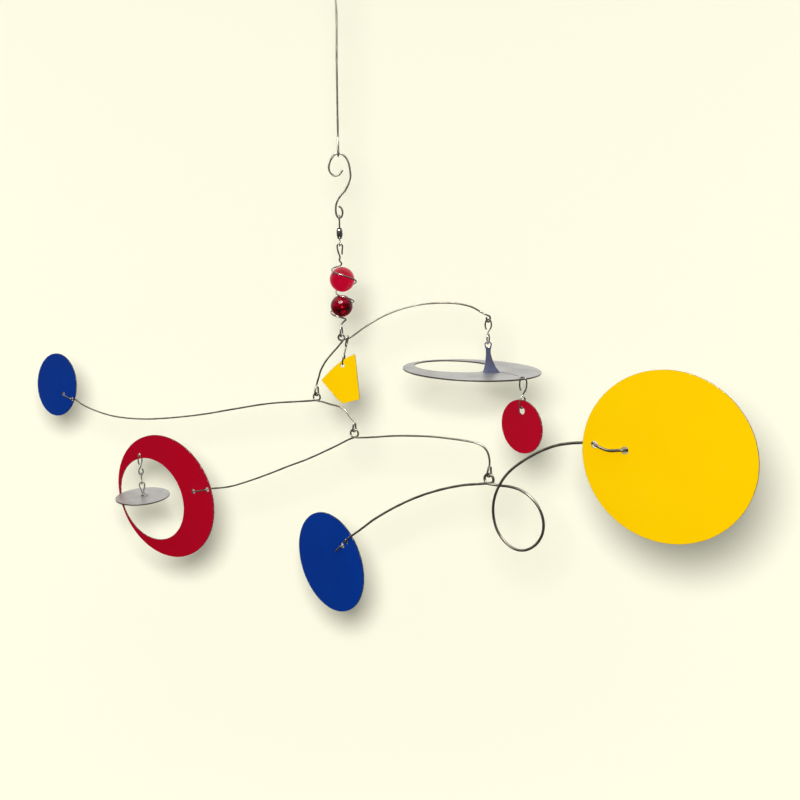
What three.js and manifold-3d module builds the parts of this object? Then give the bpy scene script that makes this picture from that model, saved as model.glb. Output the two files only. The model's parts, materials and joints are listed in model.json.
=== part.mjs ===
// A hanging mobile: four balanced wire arms, a horizontal ring and small pendants, in millimetres.
// +Z is up, +X runs to the right, and the origin is the centre of the top eye that the mobile hangs by.
// Each arm is drawn in its own upright plane: x runs along the arm, y across it and z up.
import * as THREE from "three";
import { mergeVertices } from "three/addons/utils/BufferGeometryUtils.js";
import Module from "manifold-3d";

const wasm = await Module();
wasm.setup();

// ---- driving dimensions ----
const SHEET = 1.0;                 // thickness of every plate
const WIRE = 1.2;                  // hanger, hook and the three upper arms
const STOUT_WIRE = 1.6;            // the lowest arm
const LINK_WIRE = 1.0;             // links and bead wire
const FINE_WIRE = 0.9;             // swivel eyes and the crescent's chain
const GAP = 0.3;                   // clearance kept between pieces that touch
const SEAT = 0.42;                 // clearance at the bottom of a loop that another loop hangs in
const SECTION_SIDES = 6;           // sides of a wire's section

const HANGER_DROP = 96;            // top eye's centre to the foot of the hanger's lower eye
const TOP_EYE_RADIUS = 4;
const HUB_DROP = 208.6;            // top eye's centre to the upper arm's coil
const UPPER_BEAD = { radius: 8, x: 1.1, drop: 171.3 };
const LOWER_BEAD = { radius: 7.2, x: 0.55, drop: 188.2 };
const BARREL_TOP = 139.3;
const BARREL_LENGTH = 6.5;

const YELLOW_DISC = { x: 103.4, z: 34.3, radius: 43 };
const LOW_BLUE_DISC = { x: -148.4, z: -101.2, radius: 39 };
const LEFT_BLUE_DISC = { x: -274.6, z: -17.3, radius: 26.6 };
const CRESCENT = { x: -171.6, z: -71.1, radius: 49.2 };
const CRESCENT_WINDOW = { x: -185.5, z: -75.3, radius: 33.4 };
const GREY_DISC_RADIUS = 20.3;
const HALO = { x: -8.9, y: 12.5, radius: 46.5 };
const HALO_WINDOW = { x: -19.5, y: 24, radius: 27.8 };
const HALO_DROP = 231.9;           // top eye's centre to the middle of the ring's sheet
const RED_DISC_RADIUS = 17.3;
const RED_DISC_HOLE = 2.5;

// Turn of each plane about the vertical, in degrees: the right-hand end comes forward.
const SECOND_ARM_TURN = 29;
const THIRD_ARM_TURN = 26.5;
const LOW_ARM_TURN = 43.5;
const RED_DISC_TURN = 53;
const YELLOW_PLATE_TURN = 12;

// ---- finishes ----
const finish = (color, roughness, metalness) => new THREE.MeshStandardMaterial({ color, roughness, metalness });
const STEEL = finish("#8f8c80", 0.3, 1);
const GREY_METAL = finish("#b5b2ae", 0.42, 0.9);
const YELLOW = finish("#ffd000", 0.3, 0);
const RED = finish("#b3081d", 0.35, 0);
const BLUE = finish("#08308c", 0.38, 0);
const RED_GLASS = finish("#9c0718", 0.05, 0);

const rad = THREE.MathUtils.degToRad;
const point = (x, y, z) => new THREE.Vector3(x, y, z);
const inPlane = (pairs) => pairs.map(([x, z]) => point(x, 0, z));

const model = new THREE.Group();

function addPiece(name, geometry, material, parent = model) {
  const mesh = new THREE.Mesh(geometry, material.clone());
  mesh.name = name;
  parent.add(mesh);
  return mesh;
}

function addArm(x, y, z, turn) {
  const arm = new THREE.Group();
  arm.position.set(x, y, z);
  arm.rotation.z = -rad(turn);
  model.add(arm);
  arm.updateMatrixWorld(true);
  return arm;
}

// ---- wire ----
// A smooth route through its points. Steps follow the points, so tight eyes get short steps.
class WireRoute extends THREE.CatmullRomCurve3 {
  getUtoTmapping(u) {
    return u;
  }
}

function wire(points, diameter, stepsPerSpan = 1) {
  const section = new THREE.Shape();
  for (let side = 0; side < SECTION_SIDES; side += 1) {
    const angle = (2 * Math.PI * side) / SECTION_SIDES;
    section.lineTo(0.5 * diameter * Math.cos(angle), 0.5 * diameter * Math.sin(angle));
  }
  section.curves.shift();
  section.closePath();
  const extrudePath = new WireRoute(points, false, "centripetal");
  const steps = stepsPerSpan * (points.length - 1);
  return new THREE.ExtrudeGeometry(section, { steps, bevelEnabled: false, extrudePath });
}

// One turn of wire in the arm's plane, from its crossing round and back to it.
// The two strands pass side by side at the crossing: y drifts from +drift to -drift.
function coil(radius, crossing, drift, steps = 10) {
  const points = [];
  for (let step = 0; step <= steps; step += 1) {
    const share = step / steps;
    const angle = rad(crossing + 360 * share);
    points.push(point(radius * Math.cos(angle), drift * (1 - 2 * share), radius * Math.sin(angle)));
  }
  return points;
}

// A closed eye at the end of a stem, from the stem's foot round to the wire's end beside the stem.
// tip is the height of the eye's far end; it hangs below the stem, or stands above it with up = true.
function eye({ x = 0, y = 0, tip, radius, neck, turn, diameter, up = false }) {
  const sense = up ? -1 : 1;
  const centre = tip + sense * radius;
  const at = (side, rise) => {
    return point(x + side * Math.cos(rad(turn)), y + side * Math.sin(rad(turn)), centre + sense * rise);
  };
  const points = [at(0, neck), at(-0.6 * radius, 0.5 * neck + 0.25 * radius)];
  for (const angle of [168, 202, 236, 270, 304, 338, 12]) {
    points.push(at(radius * Math.cos(rad(angle)), radius * Math.sin(rad(angle))));
  }
  points.push(at(0.85 * radius, 0.25 * neck + 0.35 * radius));
  points.push(at(Math.max(0.45 * radius, diameter + 0.35), 0.75 * neck));
  return points;
}

// A link bent from one wire: an upper and a lower loop, each in its own upright plane,
// joined by a strand that crosses over between them. Both loops end just short of closing.
const LOOP_OUTLINE = [[-0.3, 0.8], [-0.47, 0.6], [-0.5, 0.38], [-0.4, 0.14], [-0.24, 0.015], [0, 0],
  [0.24, 0.015], [0.4, 0.14], [0.5, 0.38], [0.44, 0.62], [0.22, 0.84]];
function link(top, bottom, upper, lower, diameter) {
  const height = top.z - bottom.z;
  const at = (loop, side, drop) => {
    const spot = top.clone().lerp(bottom, drop / height);
    spot.x += side * loop.width * Math.cos(rad(loop.turn));
    spot.y += side * loop.width * Math.sin(rad(loop.turn));
    return spot;
  };
  const above = LOOP_OUTLINE.map(([side, drop]) => at(upper, side, drop * upper.height));
  const below = LOOP_OUTLINE.map(([side, drop]) => at(lower, -side, height - drop * lower.height));
  const waist = at(upper, 0, 0.5 * (upper.height + height - lower.height));
  return wire([...above, waist, ...below.reverse()], diameter);
}

// The wire's run through a plate's hole, from y = side to y = -side, rising by slope.
function stitch(x, z, side, slope = 0, step = -1) {
  const runs = [[-1.9, 1], [-0.8, 0.72], [0.8, -0.72], [1.9, -1]];
  return runs.map(([run, share]) => point(x + step * run, side * share, z + step * run * slope));
}

// ---- sheet ----
function solid(geometry) {
  const bare = geometry.clone();
  bare.deleteAttribute("normal");
  bare.deleteAttribute("uv");
  const merged = mergeVertices(bare, 1e-4);
  const vertProperties = new Float32Array(merged.attributes.position.array);
  const triVerts = new Uint32Array(merged.index.array);
  return new wasm.Manifold(new wasm.Mesh({ numProp: 3, vertProperties, triVerts }));
}

function geometryOf(manifold) {
  const mesh = manifold.getMesh();
  const geometry = new THREE.BufferGeometry();
  geometry.setAttribute("position", new THREE.BufferAttribute(new Float32Array(mesh.vertProperties), 3));
  geometry.setIndex(new THREE.BufferAttribute(new Uint32Array(mesh.triVerts), 1));
  return geometry;
}

function circle(x, y, radius, sides, PathType = THREE.Path) {
  const turns = [...Array(sides).keys()].map((side) => (2 * Math.PI * side) / sides);
  return new PathType(turns.map((a) => new THREE.Vector2(x + radius * Math.cos(a), y + radius * Math.sin(a))));
}

function roundShape({ x, z, radius }, holes = [], sides = 56) {
  const shape = circle(x, z, radius, sides, THREE.Shape);
  for (const hole of holes) shape.holes.push(circle(hole.x, hole.z, hole.radius, hole.radius > 10 ? sides : 14));
  return shape;
}

function sheet(shape, depth = SHEET) {
  const plate = new THREE.ExtrudeGeometry(shape, { depth, bevelEnabled: false, curveSegments: 12 });
  return plate.translate(0, 0, -depth / 2);
}

// A plate in the arm's plane, rolled by lean degrees about the line through its two stitch holes.
// The arm's tip may be twisted, which turns the plate and its stitches about the first hole.
const UPRIGHT = point(0, 0, 1);
function addPlate(name, shape, material, arm, holes, lean, twist) {
  const [first, second] = holes;
  const geometry = sheet(shape).rotateX(Math.PI / 2).translate(-first.x, 0, -first.z);
  const plate = addPiece(name, geometry, material, arm);
  plate.position.set(first.x, 0, first.z);
  const line = point(second.x - first.x, 0, second.z - first.z).normalize();
  plate.quaternion.setFromAxisAngle(UPRIGHT, rad(twist));
  plate.quaternion.multiply(new THREE.Quaternion().setFromAxisAngle(line, rad(lean)));
  return plate;
}

function twisted(points, hole, twist) {
  const pivot = point(hole.x, 0, hole.z);
  return points.map((spot) => spot.clone().sub(pivot).applyAxisAngle(UPRIGHT, rad(twist)).add(pivot));
}

const clearOfSheet = (diameter) => 0.5 * SHEET + 0.5 * diameter + GAP + 0.05;

// ---- hanger: a straight stiff wire with an eye at each end ----
function topEye() {
  const points = [];
  for (let angle = -50; angle <= 230; angle += 31) {
    points.push(point(TOP_EYE_RADIUS * Math.cos(rad(angle)), 0, TOP_EYE_RADIUS * Math.sin(rad(angle))));
  }
  return points;
}
const hangerStem = inPlane([[-1.0, -5.2], [0, -8], [0, -45], [0, -78]]);
const hangerFoot = eye({ tip: -HANGER_DROP, radius: 1.9, neck: 9.5, turn: 90, diameter: WIRE });
addPiece("hanger_wire", wire([...topEye(), ...hangerStem, ...hangerFoot], WIRE), STEEL);

// ---- hook: an open curl above, a closed eye below ----
const hookTop = -HANGER_DROP + WIRE + SEAT;
const hookCurl = [[2.6, -9.9], [0, -12.8], [-2.8, -13.2], [-5.3, -11.1], [-6, -8], [-4.9, -4.3], [-2.7, -1.1],
  [0.4, 0], [3.8, -1.5], [6.2, -5.4], [7.2, -10.8], [7.3, -14.6], [4.4, -21.4], [1.4, -24.9], [-1, -28.4],
  [-2.1, -32], [-2.0, -35.6], [-1.4, -37.7], [0, -38.7], [1.5, -37.8], [2.1, -36], [1.9, -34.1], [1.0, -32.4], [-0.3, -31.5]];
addPiece("hook", wire(inPlane(hookCurl.map(([x, z]) => [x, hookTop + z])), WIRE), STEEL);
const hookFoot = hookTop - 38.7;

// ---- barrel swivel: the upper eye is fixed in the barrel, the lower eye turns in it ----
const SOCKET_RADIUS = 1.35;
const SOCKET_DEPTH = 1.1;
function barrelProfile() {
  const half = 0.5 * BARREL_LENGTH;
  const outline = [[0, -half + SOCKET_DEPTH], [SOCKET_RADIUS, -half + SOCKET_DEPTH], [SOCKET_RADIUS, -half],
    [1.6, -half], [1.8, -2.3], [1.95, -1.2], [2, 0], [1.95, 1.2], [1.8, 2.3], [1.6, half],
    [SOCKET_RADIUS, half], [SOCKET_RADIUS, half - SOCKET_DEPTH], [0, half - SOCKET_DEPTH]];
  return outline.map(([radius, z]) => new THREE.Vector2(radius, z));
}
const barrel = addPiece("swivel_barrel", new THREE.LatheGeometry(barrelProfile(), 12).rotateX(Math.PI / 2), STEEL);
barrel.position.set(0, 0, -BARREL_TOP - 0.5 * BARREL_LENGTH);

// A loop with both strands going into the barrel, drawn in the y-z plane.
function swivelEye(tip, foot, radius) {
  const sense = Math.sign(tip - foot);
  const centre = tip - sense * radius;
  const points = [point(0, -0.62, foot), point(0, -0.64, foot + sense * 1.3)];
  for (const angle of [-30, 5, 40, 90, 140, 175, 210]) {
    points.push(point(0, -radius * Math.cos(rad(angle)), centre + sense * radius * Math.sin(rad(angle))));
  }
  points.push(point(0, 0.64, foot + sense * 1.3), point(0, 0.62, foot));
  return wire(points, FINE_WIRE);
}
const swivelTip = hookFoot + 0.5 * (WIRE + FINE_WIRE) + SEAT;
const swivelFoot = -150.2;
addPiece("swivel_upper_eye", swivelEye(swivelTip, -BARREL_TOP - 0.7, 1.7), STEEL);
addPiece("swivel_lower_eye", swivelEye(swivelFoot, -BARREL_TOP - BARREL_LENGTH + 0.7, 1.25), STEEL);

// ---- bead wire: one wire winds round both glass balls and holds them ----
const hubEyeRadius = 2.0;
const hubEyeFoot = -HUB_DROP + hubEyeRadius - 0.5 * (WIRE + LINK_WIRE) - SEAT;
function roundBead(bead, turns) {
  const reach = bead.radius + 0.5 * LINK_WIRE + GAP + 0.35;
  return turns.map(([fromTop, azimuth]) => {
    const across = reach * Math.sin(rad(fromTop));
    const rise = reach * Math.cos(rad(fromTop));
    return point(bead.x + across * Math.cos(rad(azimuth)), across * Math.sin(rad(azimuth)), rise - bead.drop);
  });
}
const upperTurn = [];
for (let share = 0; share <= 1.001; share += 0.1) upperTurn.push([22 + 120 * share, 120 + 378 * share]);
const lowerTurn = [[24, 215], [36, 262], [46, 300], [57, 332], [68, 362], [79, 398], [90, 434], [101, 470],
  [112, 505], [122, 540], [132, 577], [142, 615]];
const beadWireTop = swivelFoot + 0.5 * (FINE_WIRE + LINK_WIRE) + GAP;
const beadWire = [
  ...eye({ tip: beadWireTop, radius: 1.7, neck: 6.6, turn: 0, diameter: LINK_WIRE, up: true }).reverse(),
  point(-0.4, 0, -159.4), point(0.9, 0.2, -161.2),
  ...roundBead(UPPER_BEAD, upperTurn),
  ...roundBead(LOWER_BEAD, lowerTurn),
  point(3.2, -0.6, -196.9), point(1.4, 0, -198.6),
  ...eye({ tip: hubEyeFoot, radius: 2.1, neck: 5.4, turn: 75, diameter: LINK_WIRE }),
];
addPiece("bead_wire", wire(beadWire, LINK_WIRE), STEEL);
for (const [name, bead] of [["upper_bead", UPPER_BEAD], ["lower_bead", LOWER_BEAD]]) {
  const ball = addPiece(name, new THREE.SphereGeometry(bead.radius, 18, 12), RED_GLASS);
  ball.rotation.x = Math.PI / 2;
  ball.position.set(bead.x, 0, -bead.drop);
}

// ---- upper arm: hangs by its coil from the bead wire ----
const upperArm = addArm(0, 0, -HUB_DROP, 0);
const strandDrift = 0.5 * WIRE + 0.15;
const haloEye = { x: 95.5, z: 12.2, radius: 2.1, turn: 48 };
const haloEyePoints = [[-2.9, 2.9], [-1.0, 2.2], [0.9, 1.75], [1.95, 0.4], [1.5, -1.4], [0, -2.1], [-1.5, -1.4],
  [-2.1, 0.1], [-2.3, 0.9]].map(([side, z]) => {
  const x = haloEye.x + side * Math.cos(rad(haloEye.turn));
  return point(x, side * Math.sin(rad(haloEye.turn)), haloEye.z + z);
});
const secondHang = { x: -17, foot: -38.6 };
const upperArmLeft = eye({ x: secondHang.x, tip: secondHang.foot, radius: 1.9, neck: 5.2,
  turn: 90 - SECOND_ARM_TURN, diameter: WIRE }).reverse();
const upperArmWire = [
  ...upperArmLeft, ...inPlane([[-15.6, -27], [-14, -21.8], [-10.7, -15.9], [-6.4, -10.6], [-2.2, -5.9]]),
  ...coil(2.0, -48, -strandDrift),
  ...inPlane([[3.8, -0.9], [7.4, 1.1], [14.8, 6.4], [28, 14.2], [40.3, 18.9], [51.6, 21.4], [65, 22.4],
    [76.3, 21.8], [84.9, 19.6], [89.9, 16.9]]),
  ...haloEyePoints,
];
addPiece("upper_arm_wire", wire(upperArmWire, WIRE), STEEL, upperArm);

// ---- yellow plate hanging beside the upper arm's coil ----
const plateHole = { x: 0.5, z: -18.4, radius: 1.4 };
const plateLinkTop = point(4.2, 0, 1.0);
const plateLinkFoot = point(plateHole.x, 0, plateHole.z + plateHole.radius - 0.5 * LINK_WIRE - GAP);
const plateLink = link(plateLinkTop, plateLinkFoot, { width: 3.9, height: 8.5, turn: 80 },
  { width: 3.9, height: 7.2, turn: 90 - YELLOW_PLATE_TURN }, LINK_WIRE);
addPiece("yellow_plate_link", plateLink, STEEL, upperArm);
function yellowPlateShape() {
  const shape = new THREE.Shape();
  shape.moveTo(-14.8, -10.5);
  shape.lineTo(-3.7, -23.2);
  shape.lineTo(0.2, -25.6);
  shape.lineTo(11.4, -22.3);
  shape.lineTo(8.8, 6.3);
  shape.lineTo(8.0, 7.6);
  shape.quadraticCurveTo(-2.5, 3.7, -14.8, -10.5);
  shape.holes.push(circle(0, 0, plateHole.radius, 12));
  return shape;
}
const yellowPlate = addPiece("yellow_plate", sheet(yellowPlateShape()).rotateX(Math.PI / 2), YELLOW, upperArm);
yellowPlate.position.set(plateHole.x, 0, plateHole.z);
yellowPlate.rotation.z = -rad(YELLOW_PLATE_TURN);

// ---- ring: one flat sheet with an off-centre window and a tab bent up to hang it by ----
const TAB_HEAD = { x: -0.1, z: 18.4, radius: 2.5, hole: 1.6 };
const TAB_LEFT = [[-3.7, 0], [-2.4, 1.5], [-1.9, 3.8], [-1.4, 8.3], [-1.3, 12.6], [-1.5, 15.5], [-2.3, 17.4]];
const TAB_RIGHT = [[2.2, 17.2], [1.7, 15], [1.9, 12.6], [3.4, 8.3], [5.7, 3.8], [7.8, 1.4], [9.7, 0]];
function tabShape() {
  const head = [];
  for (let angle = 165; angle >= 15; angle -= 30) {
    head.push([TAB_HEAD.x + TAB_HEAD.radius * Math.cos(rad(angle)), TAB_HEAD.z + TAB_HEAD.radius * Math.sin(rad(angle))]);
  }
  const outline = [...TAB_LEFT, ...head, ...TAB_RIGHT].map(([x, z]) => new THREE.Vector2(x, z));
  return new THREE.Shape(outline);
}
const RIM_LOOP = 45.9;             // ring's centre to the axis of the red disc's link
const RIM_HOLE = RIM_LOOP - 2.1;   // ring's centre to the small hanging hole
const RIM_TURN = -51;
const fromRing = (distance) => {
  return [HALO.x + distance * Math.cos(rad(RIM_TURN)), HALO.y + distance * Math.sin(rad(RIM_TURN))];
};
function sawCut() {
  const along = [[9.3, 0.4], [12, -3.8], [14.8, -7.2], [17, -10.6], [18.2, -13.6]];
  const width = 0.55;
  const near = along.map(([x, y]) => new THREE.Vector2(x - 0.4 * width, y - 0.3 * width));
  const far = along.map(([x, y]) => new THREE.Vector2(x + 0.4 * width, y + 0.3 * width));
  return new THREE.Shape([...near, ...far.reverse()]);
}
function haloGeometry() {
  const flat = circle(HALO.x, HALO.y, HALO.radius, 72, THREE.Shape);
  const window = circle(HALO_WINDOW.x, HALO_WINDOW.y, HALO_WINDOW.radius, 60, THREE.Shape);
  const [holeX, holeY] = fromRing(RIM_HOLE);
  const rimHole = circle(holeX, holeY, 1.4, 14, THREE.Shape);
  const tab = tabShape();
  const tabHole = sheet(circle(TAB_HEAD.x, TAB_HEAD.z, TAB_HEAD.hole, 14, THREE.Shape), 3 * SHEET);
  const notch = sheet(tab, 3 * SHEET).translate(0, 0.5 * SHEET, 0);
  return geometryOf(
    solid(sheet(flat))
      .subtract(solid(sheet(window, 3 * SHEET)))
      .subtract(solid(sheet(rimHole, 3 * SHEET)))
      .subtract(solid(sheet(sawCut(), 3 * SHEET)))
      .subtract(solid(notch))
      .add(solid(sheet(tab).rotateX(Math.PI / 2)))
      .subtract(solid(tabHole.rotateX(Math.PI / 2))),
  );
}
const RING_TILT = 1.2;             // the ring's right-hand side hangs a little low
const RING_DIP = -0.65;            // and its back a little lower than its front
const ringGroup = new THREE.Group();
ringGroup.position.set(haloEye.x, 0, -HALO_DROP);
ringGroup.rotation.set(rad(RING_DIP), rad(RING_TILT), 0);
model.add(ringGroup);
ringGroup.updateMatrixWorld(true);
addPiece("halo", haloGeometry(), GREY_METAL, ringGroup);

const haloLinkTop = point(haloEye.x, 0, -HUB_DROP + haloEye.z - haloEye.radius + 0.5 * (WIRE + LINK_WIRE) + SEAT);
const haloLinkFoot = point(TAB_HEAD.x, 0, TAB_HEAD.z + TAB_HEAD.hole - 0.5 * LINK_WIRE - GAP);
haloLinkFoot.applyMatrix4(ringGroup.matrixWorld);
const haloLink = link(haloLinkTop, haloLinkFoot, { width: 4.8, height: 8.2, turn: -42 },
  { width: 4.8, height: 7.4, turn: 65 }, LINK_WIRE);
addPiece("halo_link", haloLink, STEEL);

// ---- small red disc hanging at the ring's rim ----
const [rimX, rimY] = fromRing(RIM_LOOP);
const redLinkTop = point(rimX, rimY, 0.5 * SHEET + 0.5 * LINK_WIRE + GAP).applyMatrix4(ringGroup.matrixWorld);
const redLinkFoot = redLinkTop.clone();
redLinkFoot.z -= 19.8;
const redLink = link(redLinkTop, redLinkFoot, { width: 5.8, height: 11, turn: RIM_TURN },
  { width: 4.6, height: 8.6, turn: 90 - RED_DISC_TURN }, LINK_WIRE);
addPiece("red_disc_link", redLink, STEEL);
const redHole = { x: 0, z: 10.4, radius: RED_DISC_HOLE };
const redShape = roundShape({ x: 0, z: 0, radius: RED_DISC_RADIUS }, [redHole], 40);
const redDisc = addPiece("red_disc", sheet(redShape).rotateX(Math.PI / 2), RED);
const redDrop = redHole.z + redHole.radius - 0.5 * LINK_WIRE - GAP;
redDisc.position.set(redLinkFoot.x, redLinkFoot.y, redLinkFoot.z - redDrop);
redDisc.rotation.z = -rad(RED_DISC_TURN);

// ---- second arm: the left blue disc, and the eye that carries the third arm ----
const secondCoil = 2.4;
const secondArmZ = -HUB_DROP + secondHang.foot + WIRE + GAP - secondCoil;
const secondArm = addArm(secondHang.x, 0, secondArmZ, SECOND_ARM_TURN);
const leftBlueHoles = [{ x: -252.6, z: -27.4, radius: 1.8 }, { x: -264.6, z: -24.1, radius: 1.8 }];
const behind = clearOfSheet(WIRE);
const leftBlueSlope = -0.275;
const thirdHang = { x: 29.2, foot: -20.2 };
const LEFT_BLUE_TWIST = -4;
const LEFT_BLUE_LEAN = 8.6;
const leftBlueStitches = [
  point(-270.5, behind, -22.5),
  ...stitch(-264.6, -24.1, behind, leftBlueSlope, 1),
  ...stitch(-252.6, -27.4, -behind, leftBlueSlope, 1),
  point(-246.8, behind, -29.1),
];
const secondArmWire = [
  ...twisted(leftBlueStitches, leftBlueHoles[0], LEFT_BLUE_TWIST),
  ...inPlane([[-241, -30.6], [-229, -33.5], [-204.5, -36.4], [-174.5, -35.4], [-149.5, -32.3], [-107, -24.4],
    [-73, -16.3], [-41, -8.9], [-16, -4.9], [-5, -3.2]]),
  ...coil(secondCoil, -90, strandDrift),
  ...inPlane([[4.6, -2.9], [10.4, -3.9], [18, -4.8], [22.6, -6.9], [25.8, -10.5]]),
  ...eye({ x: thirdHang.x, tip: thirdHang.foot, radius: 1.9, neck: 4.6,
    turn: 90 - THIRD_ARM_TURN + SECOND_ARM_TURN, diameter: WIRE }),
];
addPiece("second_arm_wire", wire(secondArmWire, WIRE), STEEL, secondArm);
addPlate("left_blue_disc", roundShape(LEFT_BLUE_DISC, leftBlueHoles, 48), BLUE, secondArm,
  leftBlueHoles, LEFT_BLUE_LEAN, LEFT_BLUE_TWIST);

// ---- third arm: the red crescent, and the eye that carries the low arm ----
const thirdCoil = 2.6;
const onArm = (arm, x, z) => arm.localToWorld(point(x, 0, z));
const thirdSpot = onArm(secondArm, thirdHang.x, thirdHang.foot);
const thirdArm = addArm(thirdSpot.x, thirdSpot.y, thirdSpot.z + WIRE + GAP - thirdCoil, THIRD_ARM_TURN);
const crescentHoles = [{ x: -127.6, z: -58.3, radius: 1.75 }, { x: -141.2, z: -61.9, radius: 1.75 }];
const crescentSlope = 0.27;
const lowHang = { x: 92.6, foot: -16 };
const thirdArmWire = [
  point(-147.2, behind, -63.4),
  ...stitch(-141.2, -61.9, behind, crescentSlope, 1),
  ...stitch(-127.6, -58.3, -behind, crescentSlope, 1),
  point(-122.6, behind, -57.1),
  ...inPlane([[-106, -52.7], [-87.3, -45.4], [-69.3, -37.4], [-51.9, -29.2], [-37.8, -22.8], [-22, -14.6],
    [-12.9, -9.6], [-5.2, -5.2]]),
  ...coil(thirdCoil, -80, strandDrift),
  ...inPlane([[6, -2.2], [14.4, -0.9], [27.1, 1.4], [39.5, 3], [55.5, 4.3], [70.1, 4.5], [80.4, 4.2], [86.4, 3.2],
    [90.4, 0.4], [92.3, -4]]),
  ...eye({ x: lowHang.x, tip: lowHang.foot, radius: 1.9, neck: 5.2,
    turn: 90 - LOW_ARM_TURN + THIRD_ARM_TURN, diameter: WIRE }),
];
addPiece("third_arm_wire", wire(thirdArmWire, WIRE), STEEL, thirdArm);
const chainHole = { x: -194.9, z: -40.2, radius: 1.35 };
addPlate("red_crescent", roundShape(CRESCENT, [CRESCENT_WINDOW, ...crescentHoles, chainHole], 64), RED, thirdArm,
  crescentHoles, 0, 0);

// The crescent's chain: a link, an open hook, and the eye that grips the small grey disc.
const step = FINE_WIRE + SEAT;
const chainTop = chainHole.z - chainHole.radius + 0.5 * FINE_WIRE + GAP;
const linkFoot = -56.5;
const hookLow = -64.3;
const eyeTop = hookLow + step;
const onChain = (z) => point(chainHole.x, 0, z);
addPiece("crescent_link", link(onChain(chainTop), onChain(linkFoot), { width: 3.8, height: 9, turn: 90 },
  { width: 3.2, height: 6.2, turn: 40 }, FINE_WIRE), STEEL, thirdArm);
addPiece("disc_hook", link(onChain(linkFoot + step), onChain(hookLow), { width: 4.6, height: 4.6, turn: -45 },
  { width: 4.2, height: 4.2, turn: -45 }, FINE_WIRE), STEEL, thirdArm);
const DISC_EYE_TURN = 45;
const discEyePath = [[3.8, 0.75], [2.2, 0.8], [1.1, 1.5], [0.8, 3.4], [1.5, 6.4], [1.95, 8.6], [1.5, 10.3], [0, 11],
  [-1.5, 10.3], [-1.95, 8.6], [-1.5, 6.4], [-0.55, 3.4], [-0.35, 1.4], [-0.35, -0.6], [-0.85, -1.55],
  [-2.2, -1.8], [-4.2, -1.8]];
const discEye = discEyePath.map(([side, rise]) => {
  const spot = onChain(eyeTop - 11 + rise);
  spot.x += side * Math.cos(rad(DISC_EYE_TURN));
  spot.y = side * Math.sin(rad(DISC_EYE_TURN));
  return spot;
});
addPiece("grey_disc_eye", wire(discEye, FINE_WIRE), STEEL, thirdArm);
const eyeHole = { x: -0.35 * Math.cos(rad(DISC_EYE_TURN)), z: -0.35 * Math.sin(rad(DISC_EYE_TURN)), radius: 1.2 };
const greyDisc = addPiece("grey_disc", sheet(roundShape({ x: 0, z: 0, radius: GREY_DISC_RADIUS }, [eyeHole], 44)),
  GREY_METAL, thirdArm);
greyDisc.position.set(chainHole.x, 0, eyeTop - 11 - 0.5 * SHEET);

// ---- low arm: a stout wire with one open loop, between the low blue disc and the yellow disc ----
const lowCoil = 2.9;
const lowSpot = onArm(thirdArm, lowHang.x, lowHang.foot);
const lowArmZ = lowSpot.z + 0.5 * (WIRE + STOUT_WIRE) + GAP - lowCoil;
const lowArm = addArm(lowSpot.x, lowSpot.y, lowArmZ, LOW_ARM_TURN);
const stoutBehind = clearOfSheet(STOUT_WIRE);
const stoutDrift = 0.5 * STOUT_WIRE + 0.15;
const blueHoles = [{ x: -128.4, z: -78.4, radius: 2.1 }, { x: -132.7, z: -82.8, radius: 2.1 }];
const yellowHoles = [{ x: 67.1, z: 34.1, radius: 1.9 }, { x: 83.6, z: 34.1, radius: 1.9 }];
const LOW_BLUE_TWIST = -1.8;
const YELLOW_TWIST = 2.1;
const YELLOW_LEAN = -3.5;
const lowBlueStitches = [
  point(-138.9, -stoutBehind, -89.2),
  point(-134.4, -stoutBehind, -84.5),
  point(-133.5, -0.78 * stoutBehind, -83.6),
  point(-131.9, 0.78 * stoutBehind, -82.0),
  point(-130.55, stoutBehind + 0.2, -80.6),
  point(-129.2, 0.78 * stoutBehind, -79.2),
  point(-127.6, -0.78 * stoutBehind, -77.6),
  point(-126.7, -stoutBehind, -76.7),
  point(-122.3, -stoutBehind, -72.5),
];
const yellowStitches = [
  point(58.5, stoutBehind, 33.2),
  ...stitch(67.1, 34.1, stoutBehind, 0, 1),
  point(75.3, -stoutBehind - 0.3, 32.9),
  ...stitch(83.6, 34.1, -stoutBehind, 0, 1),
  point(88.5, stoutBehind, 34.4),
];
// The open loop drifts from the back to the front, so that its strands pass clear of each other where it closes.
const { smoothstep } = THREE.MathUtils;
const lowArmWire = [
  ...twisted(lowBlueStitches, blueHoles[0], LOW_BLUE_TWIST),
  ...inPlane([[-114.3, -65.7], [-98.9, -53], [-77.3, -37.8], [-57.1, -25.6], [-38.2, -16.2], [-20.5, -9],
    [-7.2, -5]]),
  ...coil(lowCoil, -85, stoutDrift),
  ...[[7.6, -2.8], [15.2, -1.8], [22, -2], [27.5, -3.6], [32.4, -6.5], [36.1, -10.6], [38.4, -15.6], [39, -20.4],
    [38.1, -25.5], [35.4, -30.7], [31.2, -35.1], [26, -38], [20.8, -38.8], [15.3, -37.5], [10.2, -34.2],
    [6, -28.8], [3.7, -21.6], [3.5, -14.2], [4.9, -7.6], [7.6, -1.5], [11.7, 5.2], [17.3, 11.3], [24, 16.8],
    [32.3, 22.6], [39.5, 26.6], [47, 29.9]].map(([x, z], index) => {
    const across = 0.85 - 2 * (smoothstep(index, 7, 17) - smoothstep(index, 20, 26));
    return point(x - across * Math.tan(rad(LOW_ARM_TURN)), across, z);
  }),
  ...twisted(yellowStitches, yellowHoles[0], YELLOW_TWIST),
];
addPiece("low_arm_wire", wire(lowArmWire, STOUT_WIRE), STEEL, lowArm);
addPlate("low_blue_disc", roundShape(LOW_BLUE_DISC, blueHoles, 60), BLUE, lowArm, blueHoles, 0,
  LOW_BLUE_TWIST);
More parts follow.
